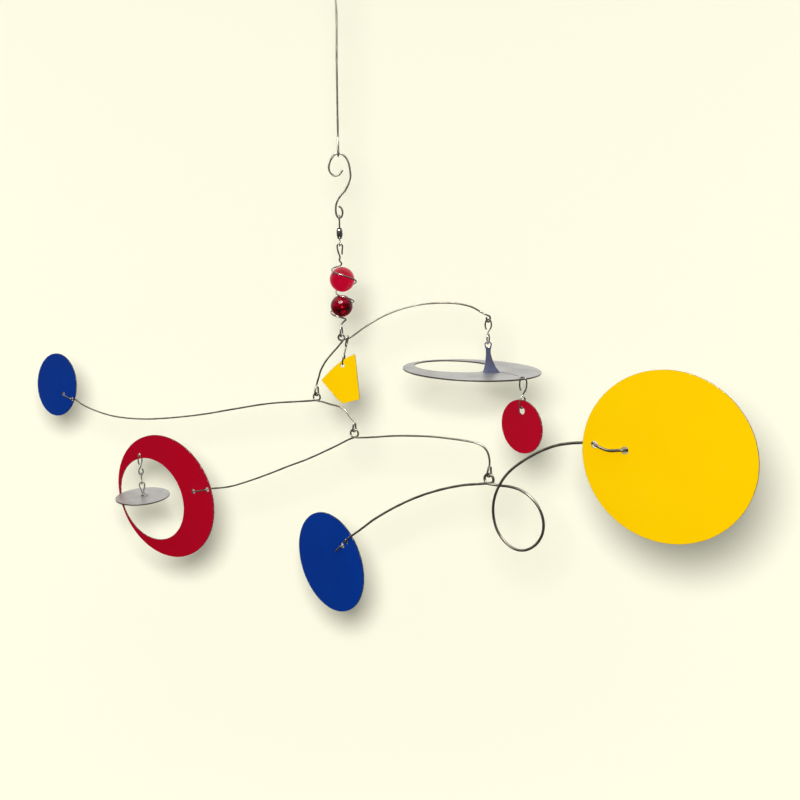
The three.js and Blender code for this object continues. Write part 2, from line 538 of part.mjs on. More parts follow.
addPlate("yellow_disc", roundShape(YELLOW_DISC, yellowHoles, 64), YELLOW, lowArm, yellowHoles,
  YELLOW_LEAN, YELLOW_TWIST);

export default model;
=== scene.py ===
# %% [markdown]
# # Dressing a hanging mobile in Blender
# The mobile is bent wire, painted sheet and two glass balls. A measured model of it already exists: plain
# faceted solids, one for each piece, grouped into the bodies that turn. This lesson keeps every piece where
# the measured model has it and makes what shows: round wire, sheet with soft sawn edges, paint and glass.

# %% Load the measured model
import json
import math

import bmesh
import bpy
from mathutils import Matrix, Vector


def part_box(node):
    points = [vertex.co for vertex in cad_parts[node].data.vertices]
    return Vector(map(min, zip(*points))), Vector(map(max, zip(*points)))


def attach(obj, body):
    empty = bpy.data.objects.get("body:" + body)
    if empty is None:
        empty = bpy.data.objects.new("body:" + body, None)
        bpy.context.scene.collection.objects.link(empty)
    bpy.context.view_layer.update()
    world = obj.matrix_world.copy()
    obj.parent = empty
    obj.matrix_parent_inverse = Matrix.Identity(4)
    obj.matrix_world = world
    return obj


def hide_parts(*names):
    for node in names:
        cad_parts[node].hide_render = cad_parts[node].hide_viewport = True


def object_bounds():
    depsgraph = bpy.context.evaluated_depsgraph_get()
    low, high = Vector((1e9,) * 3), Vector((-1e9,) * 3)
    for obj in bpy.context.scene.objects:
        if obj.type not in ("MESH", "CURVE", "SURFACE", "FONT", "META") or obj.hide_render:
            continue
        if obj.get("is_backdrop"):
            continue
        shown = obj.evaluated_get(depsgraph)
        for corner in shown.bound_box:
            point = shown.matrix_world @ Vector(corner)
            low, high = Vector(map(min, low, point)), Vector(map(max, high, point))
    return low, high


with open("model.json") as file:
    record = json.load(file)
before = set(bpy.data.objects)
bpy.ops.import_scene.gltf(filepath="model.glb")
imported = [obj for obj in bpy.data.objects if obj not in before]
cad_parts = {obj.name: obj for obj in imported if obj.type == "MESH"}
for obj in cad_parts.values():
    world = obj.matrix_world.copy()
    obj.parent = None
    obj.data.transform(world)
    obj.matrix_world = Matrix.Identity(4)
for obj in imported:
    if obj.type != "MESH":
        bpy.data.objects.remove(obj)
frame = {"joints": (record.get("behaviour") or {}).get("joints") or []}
measured_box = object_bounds()
MM = 0.001
print("size in mm:", [round((high - low) / MM, 1) for low, high in zip(*measured_box)])

# %% [markdown]
# ## The camera
# A mobile hangs above eye level, but this one is seen from a little above its middle, so its ring shows as a
# thin oval. A short lens close by gives the strong change of size from the far plates to the near yellow disc.

# %% Place the camera
LOOKS_DOWN, LEVEL = 12, 90
camera = bpy.data.objects.new("camera", bpy.data.cameras.new("camera"))
camera.data.lens, camera.data.sensor_width = 31.5, 36
camera.location = (38.2 * MM, -455 * MM, -153.6 * MM)
camera.rotation_euler = (math.radians(LEVEL - LOOKS_DOWN), 0, 0)
bpy.context.collection.objects.link(camera)
bpy.context.scene.camera = camera
bpy.context.scene.view_settings.view_transform = "Standard"
print("camera looks", LOOKS_DOWN, "degrees down through a", camera.data.lens, "mm lens")

# %% [markdown]
# ## Writing shaders as sums
# A shader is a graph of small nodes. Laid out one by one it is hard to read, so a node's output is wrapped in
# a class that understands +, - and *. Then a worn patch can be written as `1 - mask`, as on paper. Every other
# node is made by one method: its type, its settings, then the values or links of its sockets.


# %% Wrap a socket so that it can be used in sums
class Signal:
    def __init__(self, finish, socket):
        self.finish, self.socket = finish, socket

    def maths(self, operation, first, second, clamp=False):
        settings = {"operation": operation, "use_clamp": clamp}
        return self.finish.node("ShaderNodeMath", settings, {0: first, 1: second})

    def __add__(self, other):
        return self.maths("ADD", self, other)

    def __sub__(self, other):
        return self.maths("SUBTRACT", self, other)

    def __rsub__(self, other):
        return self.maths("SUBTRACT", other, self)

    def __mul__(self, other):
        return self.maths("MULTIPLY", self, other)

    __radd__, __rmul__ = __add__, __mul__

    def clipped(self):
        return self.maths("ADD", self, 0.0, clamp=True)


# %% One finish is one material, with a method that makes any node
class Finish:
    def __init__(self, name, **plain):
        self.material = bpy.data.materials.new(name)
        self.material.use_nodes = True
        self.tree = self.material.node_tree
        self.tree.nodes.clear()
        self.skin = self.tree.nodes.new("ShaderNodeBsdfPrincipled")
        output = self.tree.nodes.new("ShaderNodeOutputMaterial")
        self.tree.links.new(self.skin.outputs["BSDF"], output.inputs["Surface"])
        for socket, value in plain.items():
            self.skin.inputs[socket.replace("_", " ")].default_value = value

    def feed(self, socket, value):
        if isinstance(value, Signal):
            self.tree.links.new(value.socket, socket)
        else:
            socket.default_value = value

    def node(self, kind, settings=None, inputs=None, output=0):
        made = self.tree.nodes.new(kind)
        for name, value in (settings or {}).items():
            setattr(made, name, value)
        for name, value in (inputs or {}).items():
            self.feed(made.inputs[name], value)
        return Signal(self, made.outputs[output])

    def place(self, stretch=(1, 1, 1), where="Object"):
        spot = self.node("ShaderNodeTexCoord", output=where)
        return self.node("ShaderNodeMapping", inputs={"Vector": spot, "Scale": stretch})

    def cloud(self, grain_mm, detail=2.0, stretch=(1, 1, 1), where="Object"):
        inputs = {"Vector": self.place(stretch, where), "Scale": 1 / (grain_mm * MM), "Detail": detail}
        return self.node("ShaderNodeTexNoise", {}, inputs)

    def dots(self, apart_mm):
        inputs = {"Vector": self.place(), "Scale": 1 / (apart_mm * MM)}
        return self.node("ShaderNodeTexVoronoi", {"feature": "F1"}, inputs)

    def between(self, value, low, high):
        settings = {"interpolation_type": "SMOOTHSTEP"}
        return self.node("ShaderNodeMapRange", settings, {"Value": value, "From Min": low, "From Max": high})

    def mixed(self, mask, under, over):
        return self.node("ShaderNodeMix", {"data_type": "RGBA"}, {0: mask, 6: under, 7: over}, output=2)

    def relief(self, height, depth_mm):
        bump = self.node("ShaderNodeBump", {}, {"Height": height, "Distance": depth_mm * MM, "Strength": 1.0})
        self.feed(self.skin.inputs["Normal"], bump)


def colour(red, green, blue):
    return (red, green, blue, 1.0)


print("a finish starts with", len(Finish("trial").tree.nodes), "nodes")
bpy.data.materials.remove(bpy.data.materials["trial"])

# %% [markdown]
# ## Steel wire
# The arms are spring wire, drawn through a die. That leaves fine lines along its length, a grey that is a
# little warm where it has dulled, and smoother, brighter metal where pliers and other loops rub it. A flat
# grey would look like plastic thread. Here the lines come from noise that is stretched along the wire, and
# two softer clouds change its colour and how sharply it reflects.


# %% The finish of drawn wire
def drawn_wire(name, dark, bright, smooth):
    steel = Finish(name, Metallic=1.0)
    lines = steel.cloud(26, 3.0, (60, 1, 1), "UV")
    dulled = steel.between(steel.cloud(9, 3.0), 0.38, 0.66)
    rubbed = steel.between(steel.cloud(2.1, 1.0), 0.5, 0.75)
    shade = steel.mixed((dulled * 0.75 + lines * 0.4).clipped(), bright, dark)
    steel.feed(steel.skin.inputs["Base Color"], shade)
    steel.feed(steel.skin.inputs["Roughness"], smooth + dulled * 0.14 + lines * 0.08 - rubbed * 0.06)
    steel.relief(lines, 0.02)
    return steel


spring_wire = drawn_wire("spring_wire", colour(0.215, 0.2, 0.155), colour(0.5, 0.47, 0.38), 0.28)
fine_wire = drawn_wire("fine_wire", colour(0.2, 0.19, 0.165), colour(0.6, 0.58, 0.54), 0.18)
print("wire finishes:", spring_wire.material.name, fine_wire.material.name)

# %% [markdown]
# ## Sprayed enamel
# The coloured plates are sheet aluminium, sprayed with gloss enamel. Sprayed paint is never quite even: the
# film is a little thicker in places, it dries with a faint orange-peel texture and it catches specks of dust.
# Each plate also bends a little when it is cut, so its reflection wanders. The rim is sawn and filed, and the
# paint is thin on it, so some metal shows there as wear; the rim's paint is also darker, as painted shade on the edge.


# %% The finish of a painted face
def enamel(name, thick, thin, gloss, sheen=0.35):
    paint = Finish(name, Specular_IOR_Level=sheen, IOR=1.5)
    film = paint.between(paint.cloud(38, 2.0), 0.3, 0.7)
    peel = paint.cloud(1.5, 1.0)
    buckle = paint.cloud(55, 0.0)
    speck = 1 - paint.between(paint.dots(5.5), 0.02, 0.05)
    rubbed = paint.between(paint.cloud(3.2, 4.0, (1, 1, 5)), 0.62, 0.8)
    base = paint.mixed(film * 0.8 + peel * 0.2, thin, thick)
    paint.feed(paint.skin.inputs["Base Color"], paint.mixed(speck * 0.25, base, colour(0.5, 0.48, 0.44)))
    paint.feed(paint.skin.inputs["Roughness"], gloss + film * 0.05 + rubbed * 0.12 + speck * 0.2)
    paint.relief(peel * 0.012 + buckle * 0.9 + speck * 0.03, 1.0)
    return paint


# The rim's paint is a darker copy of the face's paint (painted shade on the edge); the bare metal patches are wear.
def sawn_rim_wear_and_shade(name, painted, metal):
    rim = Finish(name, Specular_IOR_Level=0.3)
    bare = rim.between(rim.cloud(1.2, 4.0), 0.52, 0.62)
    saw_marks = rim.cloud(0.35, 2.0)
    rim.feed(rim.skin.inputs["Base Color"], rim.mixed(bare, painted, metal))
    rim.feed(rim.skin.inputs["Metallic"], bare)
    rim.feed(rim.skin.inputs["Roughness"], 0.34 + saw_marks * 0.25)
    rim.relief(saw_marks, 0.06)
    return rim


# The rim colours below are darker copies of the paints: painted shade on the sawn edges.
ALUMINIUM = colour(0.42, 0.40, 0.38)
yellow_paint = enamel("yellow_enamel", colour(1.0, 0.63, 0.0), colour(1.0, 0.6, 0.0), 0.3, 0.12)
yellow_rim_painted_shade = sawn_rim_wear_and_shade("yellow_rim_painted_shade", colour(0.72, 0.42, 0.0), ALUMINIUM)
red_paint = enamel("red_enamel", colour(0.52, 0.0008, 0.014), colour(0.5, 0.0022, 0.021), 0.3, 0.12)
red_rim_painted_shade = sawn_rim_wear_and_shade("red_rim_painted_shade", colour(0.2, 0.004, 0.01), ALUMINIUM)
blue_paint = enamel("blue_enamel", colour(0.0008, 0.039, 0.31), colour(0.001, 0.045, 0.36), 0.32, 0.1)
blue_rim_painted_shade = sawn_rim_wear_and_shade("blue_rim_painted_shade", colour(0.002, 0.015, 0.09), ALUMINIUM)
print("paints:", ", ".join(f.material.name for f in (yellow_paint, red_paint, blue_paint)))

# %% [markdown]
# ## Bare sheet
# The ring and the small horizontal disc are the same sheet left bare: satin grey, with the short scratches of
# abrasive paper. The scratches are noise stretched in two directions, because paper is rubbed across and back.
# The tab that the ring hangs by has been polished. Its darker, bluer colour is painted reflection of its surroundings,
# and its near-white rim is painted highlight.


# %% The finishes of bare metal
def satin_sheet(name, light, dark, smooth, scratch_depth, metallic=1.0):
    metal = Finish(name, Metallic=metallic)
    across = metal.cloud(0.9, 3.0, (0.06, 1.3, 1))
    back = metal.cloud(0.9, 3.0, (1.1, 0.09, 1))
    stain = metal.between(metal.cloud(17, 3.0), 0.35, 0.7)
    scratches = across * 0.65 + back * 0.35
    wear = (stain * 0.5 + scratches * 0.5).clipped()
    metal.feed(metal.skin.inputs["Base Color"], metal.mixed(wear, light, dark))
    metal.feed(metal.skin.inputs["Roughness"], smooth + scratches * 0.16 + stain * 0.05)
    metal.relief(scratches, scratch_depth)
    return metal


bare_sheet = satin_sheet("satin_sheet", colour(0.58, 0.573, 0.558), colour(0.42, 0.413, 0.395), 0.33, 0.03)
# painted shade: the sawn rims of the ring and the grey disc are a darker copy of the bare sheet, standing in for the
# shade on their edges
bare_rim_painted_shade = satin_sheet("bare_rim_painted_shade", colour(0.3, 0.28, 0.24), colour(0.17, 0.15, 0.12), 0.3, 0.03)
# painted reflection: the tab's dark blue base colour stands in for the dark surroundings that the polished tab mirrors
tab_painted_reflection = satin_sheet("tab_painted_reflection", colour(0.2, 0.215, 0.35), colour(0.1, 0.11, 0.2), 0.1, 0.01, 0.6)
# painted highlight: the tab's rim is near white, standing in for the glints on its edges
tab_edge_painted_highlight = satin_sheet("tab_rim_painted_highlight", colour(0.9, 0.9, 0.92), colour(0.6, 0.6, 0.64), 0.12, 0.01)
nickel = satin_sheet("nickel_swivel", colour(0.6, 0.585, 0.55), colour(0.36, 0.35, 0.32), 0.12, 0.01)
print("bare metals:", bare_sheet.material.name, tab_painted_reflection.material.name, nickel.material.name)

# %% [markdown]
# ## Red glass
# Both balls are cast glass. Glass is clear all through, so its colour, its smoothness and how much it bends
# light are plain values on the shader. Only its skin varies, with the faint ripple left by the mould.


# %% The finish of coloured glass
def red_glass(name, tint):
    glass = Finish(name, Transmission_Weight=1.0, Roughness=0.0, IOR=1.46, Base_Color=tint)
    glass.relief(glass.cloud(6.5, 1.0), 0.05)
    return glass


bright_glass = red_glass("bright_red_glass", colour(0.5, 0.0006, 0.03))
dark_glass = red_glass("dark_red_glass", colour(0.3, 0.0004, 0.014))
print("glass:", bright_glass.material.name, dark_glass.material.name)

# %% [markdown]
# ## From measured piece to finished piece
# Every finished piece stands for one measured piece. It rides on the same body, so it turns with the same
# joint, and its box is compared with the measured one, to catch a slip in a number.


# %% Hand a finished mesh its body, its finish and its measured twin
def finished(name, node, mesh, body, slot, *finishes):
    piece = bpy.data.objects.new(name, mesh)
    bpy.context.collection.objects.link(piece)
    for finish in finishes:
        mesh.materials.append(finish.material)
    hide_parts(node)
    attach(piece, body)
    low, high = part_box(node)
    corners = [vertex.co for vertex in mesh.vertices]
    slips = [max(abs(min(c[k] for c in corners) - low[k]), abs(max(c[k] for c in corners) - high[k]))
             for k in range(3)]
    print(f"{name}: {len(mesh.polygons)} faces, box differs by {max(slips) / MM:.2f} mm")
    return piece


# %% [markdown]
# ## Bending wire
# A wire could be a Blender curve with a round bevel. A mesh is used instead because it can carry a coordinate
# along its length, which the drawn lines follow. The centreline is a smooth curve through a few bend points,
# the same rule as in the measured model, and a ring of points is carried along it without twisting.


# %% A smooth route through bend points
def smooth_route(bends, steps):
    ends = [2 * bends[0] - bends[1], *bends, 2 * bends[-1] - bends[-2]]
    route = [bends[0]]
    for before, start, end, after in zip(ends, ends[1:], ends[2:], ends[3:]):
        a, b, c = [max((q - p).length, 1e-9) ** 0.5 for p, q in ((before, start), (start, end), (end, after))]
        leave = ((start - before) / a - (end - before) / (a + b) + (end - start) / b) * b
        arrive = ((end - start) / b - (after - start) / (b + c) + (after - end) / c) * b
        for step in range(1, steps + 1):
            t = step / steps
            curve = start + leave * t + (3 * (end - start) - 2 * leave - arrive) * t**2
            route.append(curve + (2 * (start - end) + leave + arrive) * t**3)
    return route


# %% Sweep a round section along the route
def wire(name, bends, diameter, place=Matrix.Identity(4), steps=8, sides=14):
    route = [place @ (bend * MM) for bend in smooth_route([Vector(bend) for bend in bends], steps)]
    radius = diameter * MM / 2
    shape = bmesh.new()
    layer = shape.loops.layers.uv.new("UVMap")
    ways = [(b - a).normalized() for a, b in zip(route, route[1:])]
    headings = [ways[0], *[(a + b).normalized() for a, b in zip(ways, ways[1:])], ways[-1]]
    side_way = headings[0].orthogonal().normalized()
    stations = [(route[0] - headings[0] * radius * 0.18, headings[0], 0.72)]
    stations += [(spot, heading, 1.0) for spot, heading in zip(route, headings)]
    stations.append((route[-1] + headings[-1] * radius * 0.18, headings[-1], 0.72))
    rings, lengths, run = [], [], 0.0
    for index, (spot, heading, share) in enumerate(stations):
        side_way = (side_way - heading * side_way.dot(heading)).normalized()
        up_way = heading.cross(side_way)
        turns = [2 * math.pi * side / sides for side in range(sides)]
        ring = [spot + (side_way * math.cos(a) + up_way * math.sin(a)) * radius * share for a in turns]
        rings.append([shape.verts.new(corner) for corner in ring])
        run += (spot - stations[index - 1][0]).length if index else 0.0
        lengths.append(run)
    for index, (ring, following) in enumerate(zip(rings, rings[1:])):
        for side in range(sides):
            beside = (side + 1) % sides
            face = shape.faces.new((ring[side], ring[beside], following[beside], following[side]))
            face.smooth = True
            spots = [(side, index), (side + 1, index), (side + 1, index + 1), (side, index + 1)]
            for loop, (around, along) in zip(face.loops, spots):
                loop[layer].uv = (around / sides * 0.004, lengths[along])
    shape.faces.new(list(reversed(rings[0])))
    shape.faces.new(rings[-1])
    mesh = bpy.data.meshes.new(name)
    shape.to_mesh(mesh)
    shape.free()
    return mesh


# %% [markdown]
# ## Shapes that repeat in the wire
# Three bends come back all over the mobile. An **eye** closes the end of a wire. A **coil** is one full turn in
# an arm, and hangs in the eye above it. A **link** is an S of thin wire whose two loops face different ways,
# so that what hangs in it can face its own way. Each is a short rule here, and the loops nearly close.

# %% Thicknesses, and bends in one upright plane
SHEET, WIRE, STOUT, THIN, FINE, GAP, SEAT = 1.0, 1.2, 1.6, 1.0, 0.9, 0.3, 0.42


def flat(*pairs, y=0.0):
    return [(x, y, z) for x, z in pairs]


def turned(x, y, side, angle):
    return x + side * math.cos(math.radians(angle)), y + side * math.sin(math.radians(angle))


# %% The eye, the coil and the link
def eye(tip, radius, neck, turn, diameter, x=0.0, up=False):
    sense = -1 if up else 1

    def at(side, rise):
        return (*turned(x, 0.0, side, turn), tip + sense * (radius + rise))

    bends = [at(0, neck), at(-0.6 * radius, 0.5 * neck + 0.25 * radius)]
    for angle in (168, 202, 236, 270, 304, 338, 372):
        bends.append(at(radius * math.cos(math.radians(angle)), radius * math.sin(math.radians(angle))))
    tail = max(0.45 * radius, diameter + 0.35)
    return bends + [at(0.85 * radius, 0.25 * neck + 0.35 * radius), at(tail, 0.75 * neck)]


def coil(radius, crossing, drift):
    turns = [(step / 10, math.radians(crossing + 36 * step)) for step in range(11)]
    return [(radius * math.cos(a), drift * (1 - 2 * share), radius * math.sin(a)) for share, a in turns]


LOOP = [(-0.3, 0.8), (-0.47, 0.6), (-0.5, 0.38), (-0.4, 0.14), (-0.24, 0.015), (0, 0), (0.24, 0.015), (0.4, 0.14),
        (0.5, 0.38), (0.44, 0.62), (0.22, 0.84)]


def link(top, foot, upper, lower):
    top, foot = Vector(top), Vector(foot)
    height = top.z - foot.z

    def at(loop, side, drop):
        width, _, turn = loop
        spot = top.lerp(foot, drop / height)
        return (*turned(spot.x, spot.y, side * width, turn), spot.z)

    above = [at(upper, side, drop * upper[1]) for side, drop in LOOP]
    below = [at(lower, -side, height - drop * lower[1]) for side, drop in LOOP]
    return [*above, at(upper, 0, 0.5 * (upper[1] + height - lower[1])), *reversed(below)]


print("a link has", len(link((0, 0, 10), (0, 0, -10), (4, 8, 0), (4, 8, 90))), "bend points")

# %% [markdown]
# ## Where each arm hangs
# An arm is drawn in its own upright plane: x along the arm, y across it, z up. Its frame then turns and lifts
# that plane to its place. The joints of the measured model give the places of the turning axes.

# %% Frames of the arms
axis_of = {joint["child"]: Vector(joint["pos_m"]) / MM for joint in frame["joints"]}


def arm_frame(body, height, turn):
    spot = Vector((axis_of[body].x, axis_of[body].y, height))
    return Matrix.Translation(spot * MM) @ Matrix.Rotation(math.radians(-turn), 4, "Z")


SECOND_TURN, THIRD_TURN, LOW_TURN, RED_TURN, PLATE_TURN = 29, 26.5, 43.5, 53, 12
UPPER_HEIGHT, RING_HEIGHT = -208.6, -231.9
upper_frame = arm_frame("upper_arm", UPPER_HEIGHT, 0)
second_frame = arm_frame("second_arm", -248.1, SECOND_TURN)
third_frame = arm_frame("third_arm", -269.4, THIRD_TURN)
low_frame = arm_frame("low_arm", -286.6, LOW_TURN)
print("second arm hangs at", [round(value, 1) for value in second_frame.translation / MM])

# %% [markdown]
# ## The hanging line
# From the top: a straight stiff wire with an eye at each end, a hook with an open curl, and a barrel swivel,
# as anglers use, which lets all below it turn freely.

# %% Hanger and hook
top_eye = [(3.78 * math.cos(math.radians(a)), 0, 3.78 * math.sin(math.radians(a))) for a in range(-50, 231, 31)]
hanger = [*top_eye, *flat((-1, -5.2), (0, -8), (0, -45), (0, -78)), *eye(-96, 1.9, 9.5, 90, WIRE)]
finished("hanger_stem", "hanger_wire", wire("hanger_stem", hanger, WIRE), "hanger", "steel", spring_wire)

HOOK_TOP = -96 + WIRE + SEAT
curl = [(2.6, -9.9), (0, -12.8), (-2.8, -13.2), (-5.3, -11.1), (-6, -8), (-4.9, -4.3), (-2.7, -1.1), (0.4, 0),
        (3.8, -1.5), (6.2, -5.4), (7.2, -10.8), (7.3, -14.6), (4.4, -21.4), (1.4, -24.9), (-1, -28.4), (-2.1, -32),
        (-2, -35.6), (-1.4, -37.7), (0, -38.7), (1.5, -37.8), (2.1, -36), (1.9, -34.1), (1, -32.4), (-0.3, -31.5)]
hook = flat(*[(x, HOOK_TOP + z) for x, z in curl])
finished("curled_hook", "hook", wire("curled_hook", hook, WIRE), "hanger", "steel", spring_wire)


# %% [markdown]
# The swivel's barrel is turned and then crimped over the eyes at both ends, which leaves two grooves. It is
# spun from a profile, because everything on it is round.

# %% Barrel swivel
def spun(name, profile, place, steps=40):
    shape = bmesh.new()
    line = [shape.verts.new((radius * MM, 0, z * MM)) for radius, z in profile]
    edges = [shape.edges.new(pair) for pair in zip(line, line[1:])]
    bmesh.ops.spin(shape, geom=line + edges, cent=(0, 0, 0), axis=(0, 0, 1), angle=2 * math.pi, steps=steps)
    bmesh.ops.remove_doubles(shape, verts=shape.verts, dist=1e-7)
    bmesh.ops.recalc_face_normals(shape, faces=shape.faces)
    shape.transform(place)
    mesh = bpy.data.meshes.new(name)
    shape.to_mesh(mesh)
    shape.free()
    for polygon in mesh.polygons:
        polygon.use_smooth = True
    mesh.set_sharp_from_angle(angle=math.radians(50))
    return mesh


barrel = [(0, -2.15), (1.3, -2.15), (1.33, -3.1), (1.42, -3.25), (1.58, -3.2), (1.7, -2.7), (1.58, -2.45), (1.75, -2.2),
          (1.94, -1.3), (2, 0), (1.94, 1.3), (1.75, 2.2), (1.58, 2.45), (1.7, 2.7), (1.58, 3.2), (1.42, 3.25),
          (1.33, 3.1), (1.3, 2.15), (0, 2.15)]
barrel_place = Matrix.Translation((0, 0, (-139.3 - 3.25) * MM))
finished("swivel_body", "swivel_barrel", spun("swivel_body", barrel, barrel_place), "hanger", "steel", nickel)


def swivel_eye(tip, foot, radius):
    sense = 1 if tip > foot else -1
    bends = [(0, -0.62, foot), (0, -0.64, foot + sense * 1.3)]
    for angle in (-30, 5, 40, 90, 140, 175, 210):
        rise = tip - sense * radius + sense * radius * math.sin(math.radians(angle))
        bends.append((0, -radius * math.cos(math.radians(angle)), rise))
    return bends + [(0, 0.64, foot + sense * 1.3), (0, 0.62, foot)]


swivel_tip = HOOK_TOP - 38.7 + (WIRE + FINE) / 2 + SEAT
swivel_top_bends = swivel_eye(swivel_tip, -140, 1.7)
swivel_low_bends = swivel_eye(-150.2, -145.1, 1.25)
finished("swivel_top", "swivel_upper_eye", wire("swivel_top", swivel_top_bends, FINE), "hanger", "steel", fine_wire)
finished("swivel_foot", "swivel_lower_eye", wire("swivel_foot", swivel_low_bends, FINE), "drop", "steel", fine_wire)

# %% [markdown]
# ## Two glass balls held by one wire
# A single wire makes an eye, winds once round each ball as an open spiral and ends in the eye that carries
# the whole mobile. The balls have no holes. The wire stands just off the glass, so it hides nothing of it.

# %% The spiral
UPPER_BALL, LOWER_BALL = (8, 1.1, 171.3), (7.2, 0.55, 188.2)


def round_ball(ball, path):
    radius, x, drop = ball
    reach = radius + THIN / 2 + GAP + 0.35
    bends = []
    for from_top, azimuth in path:
        across, rise = reach * math.sin(math.radians(from_top)), reach * math.cos(math.radians(from_top))
        bends.append((*turned(x, 0, across, azimuth), rise - drop))
    return bends


upper_path = [(22 + 12 * step, 120 + 37.8 * step) for step in range(11)]
lower_path = [(24, 215), (36, 262), (46, 300), (57, 332), (68, 362), (79, 398), (90, 434), (101, 470), (112, 505),
              (122, 540), (132, 577), (142, 615)]
spiral = [*reversed(eye(-150.2 + (FINE + THIN) / 2 + GAP, 1.7, 6.6, 0, THIN, up=True)), (-0.4, 0, -159.4),
          (0.9, 0.2, -161.2), *round_ball(UPPER_BALL, upper_path), *round_ball(LOWER_BALL, lower_path),
          (3.2, -0.6, -196.9), (1.4, 0, -198.6), *eye(UPPER_HEIGHT + 2.0 - (WIRE + THIN) / 2 - SEAT, 2.1, 5.4, 75, THIN)]
finished("ball_wire", "bead_wire", wire("ball_wire", spiral, THIN), "drop", "steel", fine_wire)


# %% [markdown]
# A ball could be a plain sphere, but a cast ball is very slightly out of round. A subdivided cube pushed out
# to a sphere has no pinched poles, so the highlights stay clean, and a slow wobble makes it cast glass.

# %% The balls
def cast_ball(name, ball, wobble):
    radius, x, drop = ball
    shape = bmesh.new()
    bmesh.ops.create_cube(shape, size=2)
    bmesh.ops.subdivide_edges(shape, edges=shape.edges, cuts=19, use_grid_fill=True)
    for vertex in shape.verts:
        way = vertex.co.normalized()
        uneven = math.sin(3 * way.x + wobble) * math.sin(2.6 * way.y + 1) + math.sin(4 * way.z + wobble)
        vertex.co = way * (radius - 0.05 + 0.02 * uneven) * MM + Vector((x, 0, -drop)) * MM
    for face in shape.faces:
        face.smooth = True
    mesh = bpy.data.meshes.new(name)
    shape.to_mesh(mesh)
    shape.free()
    return mesh


finished("upper_ball", "upper_bead", cast_ball("upper_ball", UPPER_BALL, 0.4), "drop", "glass", bright_glass)
finished("lower_ball", "lower_bead", cast_ball("lower_ball", LOWER_BALL, 2.1), "drop", "glass", dark_glass)

# %% [markdown]
# ## The four arms
# Each arm is one wire from tip to tip. At one end it is threaded through two holes in a plate, up through one
# and down through the other, like a stitch. At the other end an eye carries the next arm.


# %% The stitch through a plate, and the twist of an arm's tip
LEFT_TWIST, LOW_BLUE_TWIST, YELLOW_TWIST = -4, -1.8, 2.1


def twisted(bends, pivot_x, angle):
    turn = Matrix.Rotation(math.radians(angle), 3, "Z")
    return [turn @ Vector((x - pivot_x, y, z)) + Vector((pivot_x, 0, 0)) for x, y, z in bends]


def eased(value, low, high):
    t = min(max((value - low) / (high - low), 0), 1)
    return t * t * (3 - 2 * t)


def stitch(x, z, side, slope, sense=1):
    runs = ((-1.9, 1), (-0.8, 0.72), (0.8, -0.72), (1.9, -1))
    return [(x + sense * run, side * share, z + sense * run * slope) for run, share in runs]


def beside_sheet(diameter):
    return (SHEET + diameter) / 2 + GAP + 0.05


# %% Upper arm
drift = WIRE / 2 + 0.15
RING_EYE = (95.5, 12.2)
ring_eye_bends = [(*turned(RING_EYE[0], 0, side, 48), RING_EYE[1] + z) for side, z in
                  ((-2.9, 2.9), (-1, 2.2), (0.9, 1.75), (1.95, 0.4), (1.5, -1.4), (0, -2.1), (-1.5, -1.4), (-2.1, 0.1),
                   (-2.3, 0.9))]
upper_bends = [*reversed(eye(-38.6, 1.9, 5.2, 90 - SECOND_TURN, WIRE, x=-17)),
               *flat((-15.6, -27), (-14, -21.8), (-10.7, -15.9), (-6.4, -10.6), (-2.2, -5.9)), *coil(2, -48, -drift),
               *flat((3.8, -0.9), (7.4, 1.1), (14.8, 6.4), (28, 14.2), (40.3, 18.9), (51.6, 21.4), (65, 22.4),
                     (76.3, 21.8), (84.9, 19.6), (89.9, 16.9)), *ring_eye_bends]
upper_arm_mesh = wire("upper_arm_bent", upper_bends, WIRE, upper_frame)
finished("upper_arm_bent", "upper_arm_wire", upper_arm_mesh, "upper_arm", "steel", spring_wire)

# %% Second arm, with the left blue disc
behind = beside_sheet(WIRE)
left_stitches = [(-270.5, behind, -22.5), *stitch(-264.6, -24.1, behind, -0.275),
                 *stitch(-252.6, -27.4, -behind, -0.275), (-246.8, behind, -29.1)]
second_bends = [*twisted(left_stitches, -252.6, LEFT_TWIST),
                *flat((-241, -30.6), (-229, -33.5), (-204.5, -36.4), (-174.5, -35.4), (-149.5, -32.3), (-107, -24.4),
                      (-73, -16.3), (-41, -8.9), (-16, -4.9), (-5, -3.2)), *coil(2.4, -90, drift),
                *flat((4.6, -2.9), (10.4, -3.9), (18, -4.8), (22.6, -6.9), (25.8, -10.5)),
                *eye(-20.2, 1.9, 4.6, 90 - THIRD_TURN + SECOND_TURN, WIRE, x=29.2)]
second_arm_mesh = wire("second_arm_bent", second_bends, WIRE, second_frame)
finished("second_arm_bent", "second_arm_wire", second_arm_mesh, "second_arm", "steel", spring_wire)

# %% Third arm, with the red crescent
third_bends = [(-147.2, behind, -63.4), *stitch(-141.2, -61.9, behind, 0.27), *stitch(-127.6, -58.3, -behind, 0.27),
               (-122.6, behind, -57.1),
               *flat((-106, -52.7), (-87.3, -45.4), (-69.3, -37.4), (-51.9, -29.2), (-37.8, -22.8), (-22, -14.6),
                     (-12.9, -9.6), (-5.2, -5.2)), *coil(2.6, -80, drift),
               *flat((6, -2.2), (14.4, -0.9), (27.1, 1.4), (39.5, 3), (55.5, 4.3), (70.1, 4.5), (80.4, 4.2), (86.4, 3.2),
                     (90.4, 0.4), (92.3, -4)),
               *eye(-16, 1.9, 5.2, 90 - LOW_TURN + THIRD_TURN, WIRE, x=92.6)]
third_arm_mesh = wire("third_arm_bent", third_bends, WIRE, third_frame)
finished("third_arm_bent", "third_arm_wire", third_arm_mesh, "third_arm", "steel", spring_wire)

# %% [markdown]
# The lowest arm is stouter wire, because it carries the two largest plates at its ends. It makes one large
# open loop. Its two strands pass beside each other where the loop closes, so the wire drifts smoothly from the
# back of the arm's plane to its front on the way round, and back again beyond the crossing.

